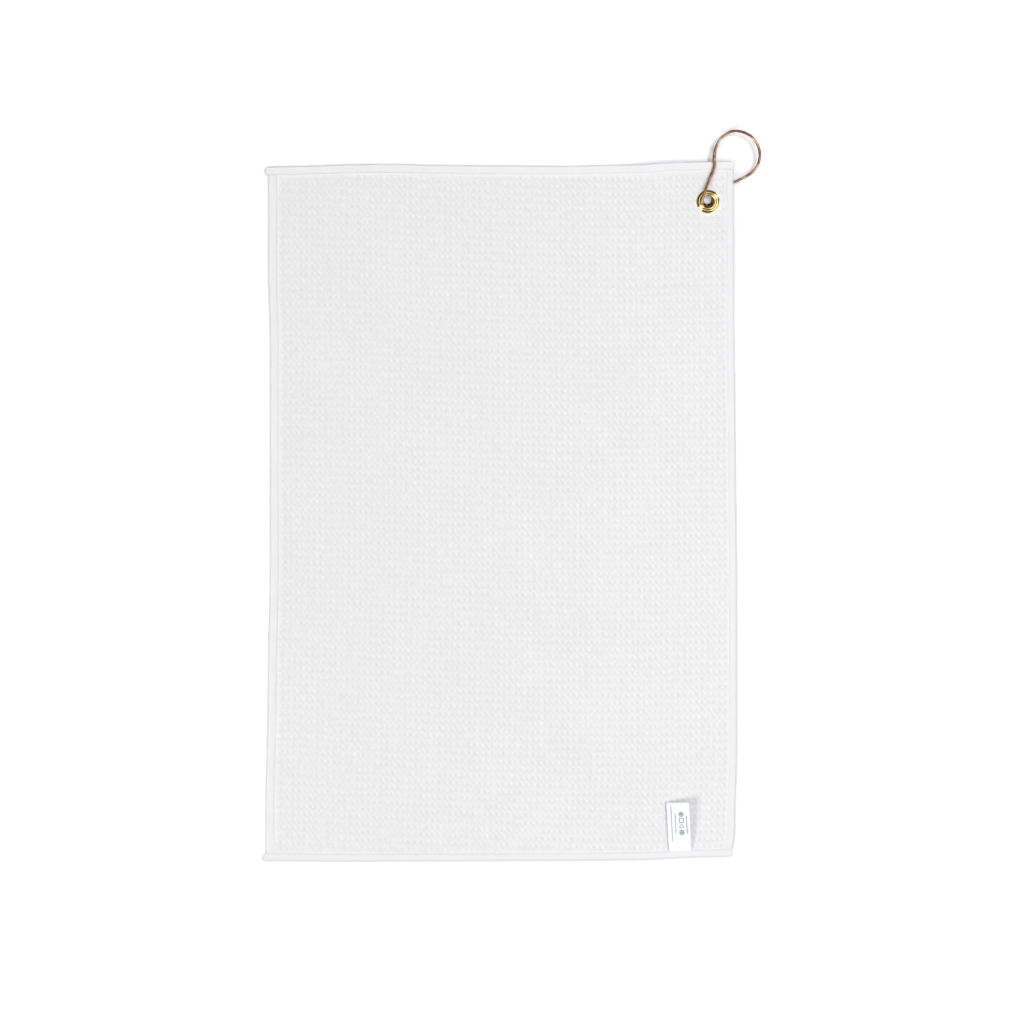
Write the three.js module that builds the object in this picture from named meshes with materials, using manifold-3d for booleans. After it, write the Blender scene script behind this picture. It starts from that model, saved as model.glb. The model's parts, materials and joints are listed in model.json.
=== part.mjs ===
/**
 * Golf towel: a waffle-weave cloth with overlocked edges, a brass grommet near one corner,
 * a bent-wire hook that passes through the grommet, and a ribbon care label.
 *
 * Millimetres, +Z up. The towel lies on z = 0 with its long side along Y. The corner with the
 * grommet is propped up by the leg of the hook that runs under it. Lengths along the towel are
 * counted from its bottom left corner: s to the right, t upward.
 */
import * as THREE from 'three';
import { mergeVertices } from 'three/addons/utils/BufferGeometryUtils.js';
import Module from 'manifold-3d';

const wasm = await Module();
wasm.setup();

// Cloth
const TOWEL_WIDTH = 408;
const TOWEL_LENGTH = 608;
const CLOTH_THICKNESS = 2.0;
const GAP = 0.3;

// The cloth's grid is coarse where it lies flat, and fine over the propped corner
const COARSE_SPACING = 44;
const FINE_SPACING = 10;
const FINE_WIDTH = 124;
const FINE_LENGTH = 168;

// How far each edge bows outward, as [distance along the edge, bow]
const EDGE_BOW = {
  left: [[0, 2.2], [50, 2.2], [140, 0.4], [270, -1.7], [450, -1.7], [520, 0], [608, 0]],
  right: [[0, -2.6], [27, 0], [100, 1.7], [228, 1.7], [359, 0.4], [490, -0.9], [608, -1.2]],
  bottom: [[0, 0.4], [62, 0.9], [254, 0.4], [324, -0.4], [377, -2.6], [408, -3.2]],
  top: [[0, -1.7], [93, 0.5], [185, -0.7], [255, -1.1], [324, 0], [356, 2.0], [408, 3.0]],
};

// Overlocked band of thread round the edges, a U-shaped section over the cloth's thin edge
const BAND_WIDTH = 7.3;
const BAND_THICKNESS = 2.4;
const BAND_WALL = 0.4;
const BAND_BACK = 0.9;
const BAND_ROUNDING = 0.6;
const TONGUE_THICKNESS = BAND_THICKNESS - 2 * BAND_WALL - 2 * GAP;
const TAB_LENGTH = 3;

// The rounded ends of the top and bottom bands, as [distance past the edge, share of the width]
const LEFT_END = [[-TAB_LENGTH, 0.5], [-TAB_LENGTH / 2, 0.9], [0, 1]];
const RIGHT_END = [[-1.5, 0.95], [0, 0.6]];

// Grommet
const GROMMET_FROM_RIGHT = 24.2;
const GROMMET_FROM_TOP = 32.2;
const GROMMET_RADIUS = 10.4;
const GROMMET_HOLE_RADIUS = 5.2;
const BARREL_WALL = 0.6;
const FLANGE_THICKNESS = 0.8;
const CURL_RADIUS = 7.8;
const CURL_THICKNESS = 1.0;
const WASHER_THICKNESS = 0.5;
const WASHER_DOME = 1.1;
const EDGE_ROUNDING = 0.3;
const ROUND_SEGMENTS = 36;

// Hook wire
const WIRE_DIAMETER = 2.4;
const WIRE_SIDES = 10;
const WIRE_STEPS = 104;

// Propped corner: the cloth clears the wire under it, then comes down along a diagonal fold
const WIRE_ON_FLOOR = WIRE_DIAMETER / 2 + 0.1;
const LIFT = WIRE_ON_FLOOR + WIRE_DIAMETER / 2 + GAP;
const LIFT_PLATEAU = 14;
const LIFT_REACH = 54;

// Care label
const LABEL_WIDTH = 20;
const LABEL_LENGTH = 42.8;
const LABEL_THICKNESS = 0.4;
const LABEL_TILT = THREE.MathUtils.degToRad(2.5);
const LABEL_ROOT_HEIGHT = 2.9;
const LABEL_RISE = 6;
const LABEL_ROOT = new THREE.Vector2(155.6, -295.2);
const LABEL_STEPS = 8;

// Heights of the stack at the grommet, from the floor up
const FLANGE_TOP = LIFT + FLANGE_THICKNESS;
const CLAMPED_CLOTH_BOTTOM = FLANGE_TOP + GAP;
const CLOTH_TOP = LIFT + CLOTH_THICKNESS;
const WASHER_BOTTOM = CLOTH_TOP + GAP;
const CURL_BOTTOM = WASHER_BOTTOM + WASHER_THICKNESS + GAP;
const CURL_TOP = CURL_BOTTOM + CURL_THICKNESS;
const WIRE_OVER_BAND = LIFT + BAND_THICKNESS + GAP + WIRE_DIAMETER / 2 + 0.1;
const WIRE_OVER_CURL = CURL_TOP + GAP + WIRE_DIAMETER / 2;

const GROMMET = new THREE.Vector2(
  TOWEL_WIDTH / 2 - GROMMET_FROM_RIGHT,
  TOWEL_LENGTH / 2 - GROMMET_FROM_TOP,
);

const cloth = new THREE.MeshStandardMaterial({ color: 0xeff0f1, roughness: 0.95 });
const thread = new THREE.MeshStandardMaterial({ color: 0xeceef2, roughness: 0.9 });
const satin = new THREE.MeshStandardMaterial({ color: 0xf6f6f4, roughness: 0.5 });
const brass = new THREE.MeshStandardMaterial({ color: 0xc9a951, roughness: 0.3, metalness: 1 });
const copperWire = new THREE.MeshStandardMaterial({
  color: 0xb48b70,
  roughness: 0.3,
  metalness: 1,
});

// ---------------------------------------------------------------- helpers

function smoothStep(x) {
  const c = Math.min(1, Math.max(0, x));
  return c * c * (3 - 2 * c);
}

function bowAt(points, distance) {
  const last = points.length - 1;
  if (distance <= points[0][0]) return points[0][1];
  if (distance >= points[last][0]) return points[last][1];
  const next = points.findIndex((p) => p[0] > distance);
  const [from, low] = points[next - 1];
  const [to, high] = points[next];
  return low + (high - low) * smoothStep((distance - from) / (to - from));
}

/** The plan position of the cloth point that is s from the left edge and t from the bottom. */
function plan(s, t) {
  const left = -TOWEL_WIDTH / 2 - bowAt(EDGE_BOW.left, t);
  const right = TOWEL_WIDTH / 2 + bowAt(EDGE_BOW.right, t);
  const bottom = -TOWEL_LENGTH / 2 - bowAt(EDGE_BOW.bottom, s);
  const top = TOWEL_LENGTH / 2 + bowAt(EDGE_BOW.top, s);
  return new THREE.Vector2(
    left + ((right - left) * s) / TOWEL_WIDTH,
    bottom + ((top - bottom) * t) / TOWEL_LENGTH,
  );
}

/** How far the cloth is lifted off the floor at a plan position. */
function liftAt(point) {
  const fold = new THREE.Vector2(GROMMET_FROM_TOP, GROMMET_FROM_RIGHT).normalize();
  const towardCorner = point.clone().sub(GROMMET).dot(fold);
  return LIFT * smoothStep((towardCorner + LIFT_REACH) / (LIFT_REACH - LIFT_PLATEAU));
}

/** Keeps only welded positions, and turns the faces outward if they point in. */
function closed(geometry) {
  for (const name of ['normal', 'uv']) geometry.deleteAttribute(name);
  const welded = mergeVertices(geometry, 1e-4);
  const position = welded.getAttribute('position');
  const index = welded.getIndex().array;
  const corner = (i) => new THREE.Vector3().fromBufferAttribute(position, index[i]);
  let volume = 0;
  for (let i = 0; i < index.length; i += 3) {
    volume += corner(i).dot(corner(i + 1).cross(corner(i + 2)));
  }
  if (volume < 0) {
    for (let i = 0; i < index.length; i += 3) {
      [index[i], index[i + 1]] = [index[i + 1], index[i]];
    }
  }
  welded.computeVertexNormals();
  return welded;
}

function fromTriangles(points, triangles) {
  const geometry = new THREE.BufferGeometry();
  geometry.setFromPoints(points);
  geometry.setIndex(triangles);
  return closed(geometry);
}

/** Joins rings of equal length into a closed tube, with flat ends cut from the outline. */
function loft(rings, outline) {
  const size = outline.length;
  const triangles = [];
  for (let i = 0; i + 1 < rings.length; i += 1) {
    for (let j = 0; j < size; j += 1) {
      const a = i * size + j;
      const b = i * size + ((j + 1) % size);
      triangles.push(a, b, b + size, a, b + size, a + size);
    }
  }
  const end = (rings.length - 1) * size;
  const clockwise = THREE.ShapeUtils.isClockWise(outline);
  const contour = clockwise ? outline.slice().reverse() : outline;
  for (const face of THREE.ShapeUtils.triangulateShape(contour, [])) {
    const [a, b, c] = clockwise ? face.map((k) => size - 1 - k) : face;
    const near = clockwise ? [a, b, c] : [a, c, b];
    const far = clockwise ? [a, c, b] : [a, b, c];
    triangles.push(...near, ...far.map((k) => end + k));
  }
  return fromTriangles(rings.flat(), triangles);
}

function toManifold(geometry) {
  const mesh = new wasm.Mesh({
    numProp: 3,
    vertProperties: new Float32Array(geometry.getAttribute('position').array),
    triVerts: new Uint32Array(geometry.getIndex().array),
  });
  return new wasm.Manifold(mesh);
}

function fromManifold(solid) {
  const mesh = solid.getMesh();
  const geometry = new THREE.BufferGeometry();
  geometry.setAttribute('position', new THREE.BufferAttribute(mesh.vertProperties, 3));
  geometry.setIndex(Array.from(mesh.triVerts));
  return closed(geometry);
}

/** An upright cylinder at the grommet, from one height to another. */
function plug(radius, bottom, top) {
  const geometry = new THREE.CylinderGeometry(radius, radius, top - bottom, ROUND_SEGMENTS);
  geometry.rotateX(Math.PI / 2);
  geometry.translate(GROMMET.x, GROMMET.y, (bottom + top) / 2);
  return closed(geometry);
}

/** A turned ring at the grommet, from an outline of [radius, height]. */
function turned(outline) {
  const profile = outline.map(([radius, height]) => new THREE.Vector2(radius, height));
  const geometry = new THREE.LatheGeometry([...profile, profile[0]], ROUND_SEGMENTS);
  geometry.rotateX(Math.PI / 2);
  geometry.translate(GROMMET.x, GROMMET.y, 0);
  return closed(geometry);
}

function part(name, geometry, material) {
  const mesh = new THREE.Mesh(geometry, material);
  mesh.name = name;
  return mesh;
}

// ---------------------------------------------------------------- cloth and its edges

/** Grid lines across one direction: close together at the edges and at the propped corner. */
function gridLines(length, fineFrom) {
  const edge = [BAND_BACK + GAP, BAND_WIDTH + GAP, BAND_WIDTH + 2 * GAP];
  const first = edge[2];
  const last = length - edge[2];
  const spread = (from, to, spacing) => {
    const count = Math.round((to - from) / spacing);
    return Array.from({ length: count }, (_, i) => from + ((to - from) * (i + 1)) / count);
  };
  const coarse = spread(first, fineFrom, COARSE_SPACING);
  const fine = spread(fineFrom, last, FINE_SPACING);
  return [...edge, ...coarse, ...fine, length - edge[1], length - edge[0]];
}

const LINES_ACROSS = gridLines(TOWEL_WIDTH, TOWEL_WIDTH - FINE_WIDTH);
const LINES_UP = gridLines(TOWEL_LENGTH, TOWEL_LENGTH - FINE_LENGTH);

/** The cloth: full thickness inside, thin where the thread band wraps its edge. */
function towelPanel() {
  const rows = LINES_UP.length;
  const columns = LINES_ACROSS.length;
  const tongueBottom = (BAND_THICKNESS - TONGUE_THICKNESS) / 2;
  const bottoms = [];
  const tops = [];
  for (const t of LINES_UP) {
    for (const s of LINES_ACROSS) {
      const inset = Math.min(s, t, TOWEL_WIDTH - s, TOWEL_LENGTH - t);
      const full = inset > BAND_WIDTH + 1.5 * GAP;
      const point = plan(s, t);
      const lift = liftAt(point);
      const low = full ? 0 : tongueBottom;
      const high = full ? CLOTH_THICKNESS : tongueBottom + TONGUE_THICKNESS;
      bottoms.push(new THREE.Vector3(point.x, point.y, lift + low));
      tops.push(new THREE.Vector3(point.x, point.y, lift + high));
    }
  }
  const layer = rows * columns;
  const triangles = [];
  for (let row = 0; row + 1 < rows; row += 1) {
    for (let column = 0; column + 1 < columns; column += 1) {
      const a = row * columns + column;
      const b = a + 1;
      const c = b + columns;
      const d = a + columns;
      triangles.push(a, c, b, a, d, c);
      triangles.push(layer + a, layer + b, layer + c, layer + a, layer + c, layer + d);
    }
  }
  const rim = [];
  for (let column = 0; column < columns - 1; column += 1) rim.push(column);
  for (let row = 0; row < rows - 1; row += 1) rim.push(row * columns + columns - 1);
  for (let column = columns - 1; column > 0; column -= 1) rim.push(layer - columns + column);
  for (let row = rows - 1; row > 0; row -= 1) rim.push(row * columns);
  rim.forEach((a, i) => {
    const b = rim[(i + 1) % rim.length];
    triangles.push(a, b, layer + b, a, layer + b, layer + a);
  });
  const sheet = toManifold(fromTriangles([...bottoms, ...tops], triangles));
  const hole = plug(GROMMET_HOLE_RADIUS + BARREL_WALL + 1.5 * GAP, 0, 2 * CLOTH_TOP);
  const recess = plug(GROMMET_RADIUS + GAP, 0, CLAMPED_CLOTH_BOTTOM);
  return fromManifold(sheet.subtract(toManifold(hole)).subtract(toManifold(recess)));
}

/** The band's section as [distance in from the edge, height]: a U with rounded back corners. */
function bandOutline() {
  const top = BAND_THICKNESS;
  return [
    [BAND_WIDTH, 0],
    [BAND_ROUNDING, 0],
    [0, BAND_ROUNDING],
    [0, top - BAND_ROUNDING],
    [BAND_ROUNDING, top],
    [BAND_WIDTH, top],
    [BAND_WIDTH, top - BAND_WALL],
    [BAND_BACK, top - BAND_WALL],
    [BAND_BACK, BAND_WALL],
    [BAND_WIDTH, BAND_WALL],
  ].map(([inset, height]) => new THREE.Vector2(inset, height));
}

/**
 * A band of thread. place(along, inset) gives the cloth coordinates of a band point, and the
 * stations are [distance along the edge, share of the full width], narrower at a rounded end.
 */
function threadBand(stations, place) {
  const outline = bandOutline();
  const rings = stations.map(([along, share]) =>
    outline.map(({ x: inset, y: height }) => {
      const pinched = BAND_WIDTH / 2 + (inset - BAND_WIDTH / 2) * share;
      const point = plan(...place(along, pinched));
      return new THREE.Vector3(point.x, point.y, liftAt(point) + height);
    }),
  );
  return loft(rings, outline);
}

/** Stations of the top and bottom bands, which reach past the left edge in a small tab. */
function crossStations() {
  const middle = LINES_ACROSS.slice(0, -1).map((s) => [s, 1]);
  const rightEnd = RIGHT_END.map(([past, share]) => [TOWEL_WIDTH + past, share]);
  return [...LEFT_END, ...middle, ...rightEnd];
}

/** Stations of the side bands, which stop short of the top and bottom bands. */
function sideStations() {
  const start = BAND_WIDTH + GAP;
  const end = TOWEL_LENGTH - start;
  return LINES_UP.filter((t) => t >= start - 1e-6 && t <= end + 1e-6).map((t) => [t, 1]);
}

function overlockBands() {
  const top = threadBand(crossStations(), (s, inset) => [s, TOWEL_LENGTH - inset]);
  const bottom = threadBand(crossStations(), (s, inset) => [s, inset]);
  const left = threadBand(sideStations(), (t, inset) => [inset, t]);
  const right = threadBand(sideStations(), (t, inset) => [TOWEL_WIDTH - inset, t]);
  return [
    part('overlock_top', top, thread),
    part('overlock_bottom', bottom, thread),
    part('overlock_left', left, thread),
    part('overlock_right', right, thread),
  ];
}

// ---------------------------------------------------------------- grommet

/** The eyelet: a flange under the cloth, a barrel through it and a curl rolled over on top. */
function grommetEyelet() {
  const inner = GROMMET_HOLE_RADIUS;
  const outer = GROMMET_HOLE_RADIUS + BARREL_WALL;
  const chamfer = 2 * EDGE_ROUNDING;
  const lip = 0.4;
  const crown = 0.2;
  return turned([
    [inner, LIFT + chamfer],
    [outer, LIFT],
    [GROMMET_RADIUS - lip, LIFT],
    [GROMMET_RADIUS, LIFT + lip],
    [GROMMET_RADIUS - lip, FLANGE_TOP],
    [outer, FLANGE_TOP],
    [outer, CURL_BOTTOM],
    [CURL_RADIUS - lip, CURL_BOTTOM],
    [CURL_RADIUS, CURL_BOTTOM + lip],
    [CURL_RADIUS - lip, CURL_TOP - crown],
    [(inner + CURL_RADIUS) / 2, CURL_TOP],
    [inner + lip, CURL_TOP - crown],
    [inner, CURL_TOP - chamfer],
  ]);
}

/** The washer: a flat ring under the curl, with a domed rim outside it. */
function grommetWasher() {
  const inner = GROMMET_HOLE_RADIUS + BARREL_WALL + GAP;
  const flat = WASHER_BOTTOM + WASHER_THICKNESS;
  const dome = WASHER_BOTTOM + WASHER_DOME;
  const shoulder = 0.5;
  const crest = 1.1;
  const valley = CURL_RADIUS + GAP;
  return turned([
    [inner, WASHER_BOTTOM],
    [GROMMET_RADIUS, WASHER_BOTTOM],
    [GROMMET_RADIUS, WASHER_BOTTOM + EDGE_ROUNDING],
    [GROMMET_RADIUS - shoulder, dome - EDGE_ROUNDING],
    [GROMMET_RADIUS - crest, dome],
    [valley + shoulder, dome],
    [valley, flat],
    [inner, flat],
  ]);
}

// ---------------------------------------------------------------- hook

/** A bend of the wire as an arc in plan, at one height. */
function wireArc(centre, radius, fromDegrees, toDegrees, count, height) {
  return Array.from({ length: count }, (_, i) => {
    const angle = THREE.MathUtils.degToRad(
      fromDegrees + ((toDegrees - fromDegrees) * i) / (count - 1),
    );
    return new THREE.Vector3(
      centre.x + radius * Math.cos(angle),
      centre.y + radius * Math.sin(angle),
      height,
    );
  });
}

/**
 * The wire's centre line, measured from the middle of the grommet: free end, big open hook,
 * neck, leg over the cloth, down through the grommet, leg under the cloth, end under the neck.
 */
function hookPath() {
  const at = (x, y, z) => new THREE.Vector3(x, y, z);
  const level = WIRE_OVER_BAND;
  const high = WIRE_OVER_CURL;
  const low = WIRE_ON_FLOOR;
  const climbing = (level + high) / 2;
  const end = level - WIRE_DIAMETER - GAP;
  return new THREE.CatmullRomCurve3([
    at(22.4, 16.8, level),
    at(27.6, 19.3, level),
    ...wireArc(new THREE.Vector2(24.2, 40.7), 20.8, -66, 100, 9, level),
    at(15.8, 59.0, level),
    at(11.2, 55.2, level),
    at(7.6, 49.5, level),
    at(5.8, 43.9, level),
    at(5.3, 37.5, level),
    at(5.5, 31.5, level),
    at(4.1, 26.6, level),
    at(1.6, 20.5, level),
    at(-1.2, 13.4, climbing),
    at(-3.3, 7.7, high),
    at(-4.7, 3.4, high),
    at(-5.1, 0.4, high),
    at(-4.4, -1.6, 7.8),
    at(-2.7, -2.8, 6.5),
    at(-0.6, -3.1, 4.6),
    at(1.5, -2.8, 2.9),
    at(3.1, -1.6, 1.6),
    at(4.0, 1.0, low),
    at(4.4, 6.0, low),
    at(4.8, 18.0, low),
    at(5.4, 32.0, low),
    at(5.9, 41.0, low),
    at(6.2, 44.6, 1.8),
    at(6.6, 47.2, end),
  ]);
}

function hookWire() {
  const radius = WIRE_DIAMETER / 2;
  const outline = Array.from({ length: WIRE_SIDES }, (_, i) => {
    const angle = (2 * Math.PI * i) / WIRE_SIDES;
    return new THREE.Vector2(radius * Math.cos(angle), radius * Math.sin(angle));
  });
  const geometry = new THREE.ExtrudeGeometry(new THREE.Shape(outline), {
    steps: WIRE_STEPS,
    bevelEnabled: false,
    extrudePath: hookPath(),
  });
  geometry.translate(GROMMET.x, GROMMET.y, 0);
  return closed(geometry);
}

// ---------------------------------------------------------------- care label

/** Height of the ribbon's middle above its root, at a share of its length. */
function labelHeight(share) {
  return LABEL_RISE * (0.35 * share + 0.65 * smoothStep(share));
}

/** A ribbon that rises from its sewn lower end to a free upper end. */
function careLabel() {
  const half = LABEL_THICKNESS / 2;
  const under = [];
  const over = [];
  for (let i = 0; i <= LABEL_STEPS; i += 1) {
    const share = i / LABEL_STEPS;
    under.push(new THREE.Vector2(LABEL_LENGTH * share, labelHeight(share) - half));
    over.unshift(new THREE.Vector2(LABEL_LENGTH * share, labelHeight(share) + half));
  }
  const geometry = new THREE.ExtrudeGeometry(new THREE.Shape([...under, ...over]), {
    depth: LABEL_WIDTH,
    bevelEnabled: false,
  });
  geometry.applyMatrix4(new THREE.Matrix4().set(
    0, 0, 1, -LABEL_WIDTH / 2,
    1, 0, 0, 0,
    0, 1, 0, LABEL_ROOT_HEIGHT,
    0, 0, 0, 1,
  ));
  geometry.rotateZ(LABEL_TILT);
  geometry.translate(LABEL_ROOT.x, LABEL_ROOT.y, 0);
  return closed(geometry);
}

// ---------------------------------------------------------------- assembly

const towel = new THREE.Group();
towel.add(part('towel_panel', towelPanel(), cloth));
towel.add(...overlockBands());
towel.add(part('grommet_eyelet', grommetEyelet(), brass));
towel.add(part('grommet_washer', grommetWasher(), brass));
towel.add(part('hook', hookWire(), copperWire));
towel.add(part('care_label', careLabel(), satin));

// The origin is under the middle of the whole object.
const bounds = new THREE.Box3().setFromObject(towel);
const middle = bounds.getCenter(new THREE.Vector3());
towel.position.set(-middle.x, -middle.y, -bounds.min.z);

export default towel;
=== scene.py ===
import json
import math

import bpy
import numpy as np
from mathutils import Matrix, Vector


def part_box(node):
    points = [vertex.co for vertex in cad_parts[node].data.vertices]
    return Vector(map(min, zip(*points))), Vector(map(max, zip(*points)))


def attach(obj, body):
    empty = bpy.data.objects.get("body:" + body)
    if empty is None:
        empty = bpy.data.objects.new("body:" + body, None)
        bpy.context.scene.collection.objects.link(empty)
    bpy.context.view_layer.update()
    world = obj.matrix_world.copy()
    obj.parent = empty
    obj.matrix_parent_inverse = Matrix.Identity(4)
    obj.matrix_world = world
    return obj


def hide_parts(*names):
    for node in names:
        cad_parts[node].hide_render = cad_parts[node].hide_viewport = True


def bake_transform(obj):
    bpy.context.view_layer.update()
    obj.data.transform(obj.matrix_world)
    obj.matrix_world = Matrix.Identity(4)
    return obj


# A white waffle-weave golf towel, laid flat, with overlocked edges, a brass grommet, a copper
# coloured wire hook and a satin care label. Metres, in the frame of the CAD model.
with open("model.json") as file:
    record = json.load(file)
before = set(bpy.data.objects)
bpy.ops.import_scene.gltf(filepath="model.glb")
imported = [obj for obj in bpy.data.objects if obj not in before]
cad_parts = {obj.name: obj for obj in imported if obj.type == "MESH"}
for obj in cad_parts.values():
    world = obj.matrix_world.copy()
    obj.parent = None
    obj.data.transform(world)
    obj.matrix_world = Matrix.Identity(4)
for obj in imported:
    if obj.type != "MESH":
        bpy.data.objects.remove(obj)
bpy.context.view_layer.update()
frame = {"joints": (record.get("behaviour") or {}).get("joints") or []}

MM = 0.001

# ------------------------------------------------------------------ sizes shared with the CAD
TOWEL_WIDTH = 408 * MM
TOWEL_LENGTH = 608 * MM
CLOTH_THICKNESS = 2.0 * MM
BAND_WIDTH = 7.3 * MM
BAND_THICKNESS = 2.4 * MM
BAND_WALL = 0.4 * MM
BAND_BACK = 0.9 * MM
TAB_LENGTH = 3.0 * MM
GROMMET_FROM_RIGHT = 24.2 * MM
GROMMET_FROM_TOP = 32.2 * MM
WIRE_RADIUS = 1.2 * MM
LIFT = 2.8 * MM
LIFT_PLATEAU = 14 * MM
LIFT_REACH = 54 * MM
LABEL_WIDTH = 20 * MM
LABEL_LENGTH = 42.8 * MM

# How far each edge bows outward, as (distance along the edge, bow), in millimetres
EDGE_BOW = {
    "left": [(0, 2.2), (50, 2.2), (140, 0.4), (270, -1.7), (450, -1.7), (520, 0), (608, 0)],
    "right": [(0, -2.6), (27, 0), (100, 1.7), (228, 1.7), (359, 0.4), (490, -0.9), (608, -1.2)],
    "bottom": [(0, 0.4), (62, 0.9), (254, 0.4), (324, -0.4), (377, -2.6), (408, -3.2)],
    "top": [(0, -1.7), (93, 0.5), (185, -0.7), (255, -1.1), (324, 0), (356, 2.0), (408, 3.0)],
}

# ------------------------------------------------------------------ sizes of the fine detail
WEAVE_WIDTH = 5.06 * MM
WEAVE_HEIGHT = 6.64 * MM
# The rows of the weave fall by this share of the way to the right, and level off as they go
WEAVE_FALL = 0.06
WEAVE_FALL_EASING = 0.4
# The waffle is four crossing sets of ribs: (per column, per row, weight, phase in degrees)
WEAVE_RIBS = [(1, 0, 0.6, 0), (0, 1, 0.4, 0), (1, 1, 0.99, 98), (1, -1, 0.35, -118)]
WEAVE_PEAK = 2.2
# The weave is worn flattest at the left edge, and stands up more towards the right one
WEAVE_FLATTEST = 0.78
WEAVE_GAIN = 0.36
PIT_DEPTH = 1.15 * MM
PIT_UNEVENNESS = 0.7
STEPS_ACROSS_PIT = 4
STEPS_UP_PIT = 5
STITCH_PITCH = 2.1 * MM
STEPS_PER_STITCH = 6
RIB_DEPTH = 0.16 * MM
KNOT_DEPTH = 0.3 * MM

# The slight swell of the cloth: waves as (per metre along x, per metre along y, phase)
SWELL = 0.6 * MM
SWELL_WAVES = [(31, 9, 1.0), (-14, 23, 0.4), (0, 52, 2.6)]
EDGE_REACH = 50 * MM

# How the cloth meets the grommet and the seams
CLOTH_HOLE_RADIUS = 6.4 * MM
CLAMP_RADIUS = 10.6 * MM
CLAMP_FADE = 2.6 * MM
CLAMP_SQUEEZE_TOP = 0.22 * MM
CLAMP_SQUEEZE_BACK = 0.85 * MM
FLAT_RADIUS = 10.2 * MM
FLAT_FADE = 4 * MM
PUCKERS = 11
PUCKER_HEIGHT = 0.12 * MM
PUCKER_RADIUS = 13 * MM
PUCKER_SPREAD = 5 * MM
HEM_CLEARANCE = 0.3 * MM
WEAVE_START = 0.3 * MM
WEAVE_FADE = 2.6 * MM
SEAM_DIP = 0.16 * MM
DIP_FROM_SEAM = 0.9 * MM
DIP_SPREAD = 0.8 * MM
NO_DIP_AT_RIGHT = 2 * MM
DIP_FADE = 3 * MM
SQUEEZE_OVERLAP = 1.2 * MM
SQUEEZE_FADE = 1.4 * MM
SEAM_SQUEEZE_TOP = 0.25 * MM
SEAM_SQUEEZE_BACK = 0.5 * MM

# The rows of stitches
NEEDLE_LENGTH = 1.75 * MM
NEEDLE_RADIUS = 0.13 * MM
NEEDLE_INSET = 1.0 * MM
NEEDLE_SINK = 0.26 * MM
NEEDLE_ARCH = 0.06 * MM
NEEDLE_END_REACH = 4 * MM

# The seams: thinner towards the inner edge, pinched at their ends, with painted shade between the ribs,
# and a dotted row of painted shade along the loops outside (painted light where a side's strength is
# negative)
SEAM_THINNING = 0.36 * MM
THINNING_START = 3 * MM
SIDE_SEAM_START = BAND_WIDTH - 0.2 * MM
SLOT_SETBACK = 0.2 * MM
LIP_REACH = 0.2 * MM
END_PINCH = 0.92
END_THINNESS = 0.4
RIB_SLANT = 1.1
KNOT_SPREAD = 0.16
PAINTED_VALLEY_TONE = 0.4
LOOP_ROW_INSET = 1.3 * MM
LOOP_ROW_SPREAD = 0.75 * MM
LOOP_SPREAD = 0.2
LOOP_ROW_STRENGTH = 0.7

# The grommet's rings, and the wire: its loop is given from the grommet's middle, in millimetres
RING_SPACING = 0.14 * MM
RING_STEPS = 144
LOOP_MIDDLE = (24.2, 40.7)
LOOP_RADIUS = 20.8
WIRE_SPACING = 0.4 * MM
WIRE_SIDES = 24
WIRE_END_REACH = 0.7 * MM
WIRE_END_EASING = 0.45

# The care label: it leaves the seam, steps up off the cloth and rises towards its right edge
LABEL_ROOT_RISE = 1.87 * MM
LABEL_TUCK = 3.0 * MM
LABEL_THICKNESS = 0.2 * MM
LABEL_STEP = 0.45 * MM
LABEL_STEP_START = 0.6 * MM
LABEL_STEP_REACH = 2 * MM
LABEL_SHIFT = 0.2 * MM
LABEL_LEAN = math.radians(3.1)
LABEL_RISE = 6.8 * MM
LABEL_LOW_SIDE = 0.1
LABEL_CURL = 0.25
INK_SINK = 0.02 * MM
INK_THICKNESS = 0.05 * MM

# Print, in millimetres. Rows of dashes: (from the middle, width, first, last, longest dash), with
# first and last measured from the label's free end. Shapes: (sides, turn in degrees, radius,
# radius of an inner one as a share, or 0 for none)
DASH_ROWS = [
    (-6.1, 0.62, 34.0, 3.6, 1.5),
    (-2.7, 0.8, 26.5, 9.8, 1.2),
    (7.0, 0.8, 27.0, 11.8, 1.3),
]
DASH_GAP = 0.5 * MM
SHORTEST_DASH = 0.4 * MM
PRINT_SHAPES = [(6, 0, 2.3, 0.45), (4, 45, 2.9, 0), (3, 90, 2.6, 0), (24, 0, 2.2, 0.4)]
SHAPES_FROM_MIDDLE = 2.4 * MM
SHAPES_FROM_END = 10.4
SHAPES_APART = 5.3
SHAPE_LINE = 0.65 * MM

# The camera looks straight down and sees a square of this width at the floor
CAMERA_PLAN = (0.0002, -0.0139)
CAMERA_HEIGHT = 6.0
SEEN_WIDTH = 0.8945

# Lights: name, place, size, power and colour. All of them face the middle of the floor
LIGHTS = [
    ("soft_lower_left", (-2.3, -1.94, 2.35), 1.4, 70, (1.0, 0.995, 0.986)),
    ("soft_upper_right", (1.5, 1.15, 2.1), 0.7, 25.5, (0.982, 0.98, 1.0)),
    ("wide_right", (1.5, -0.5, 2.3), 2.4, 33, (0.982, 0.98, 1.0)),
]

grommet_low, grommet_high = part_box("grommet_eyelet")
GROMMET = np.array(((grommet_low + grommet_high) / 2)[:2])
TOWEL_CENTRE = GROMMET - np.array(
    [TOWEL_WIDTH / 2 - GROMMET_FROM_RIGHT, TOWEL_LENGTH / 2 - GROMMET_FROM_TOP]
)
LABEL_ROOT = Vector(next(j for j in frame["joints"] if j["name"] == "label_flap")["pos_m"])
rng = np.random.default_rng(7)


# ------------------------------------------------------------------ the shape of the laid cloth
def smooth_step(x):
    x = np.clip(x, 0, 1)
    return x * x * (3 - 2 * x)


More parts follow.
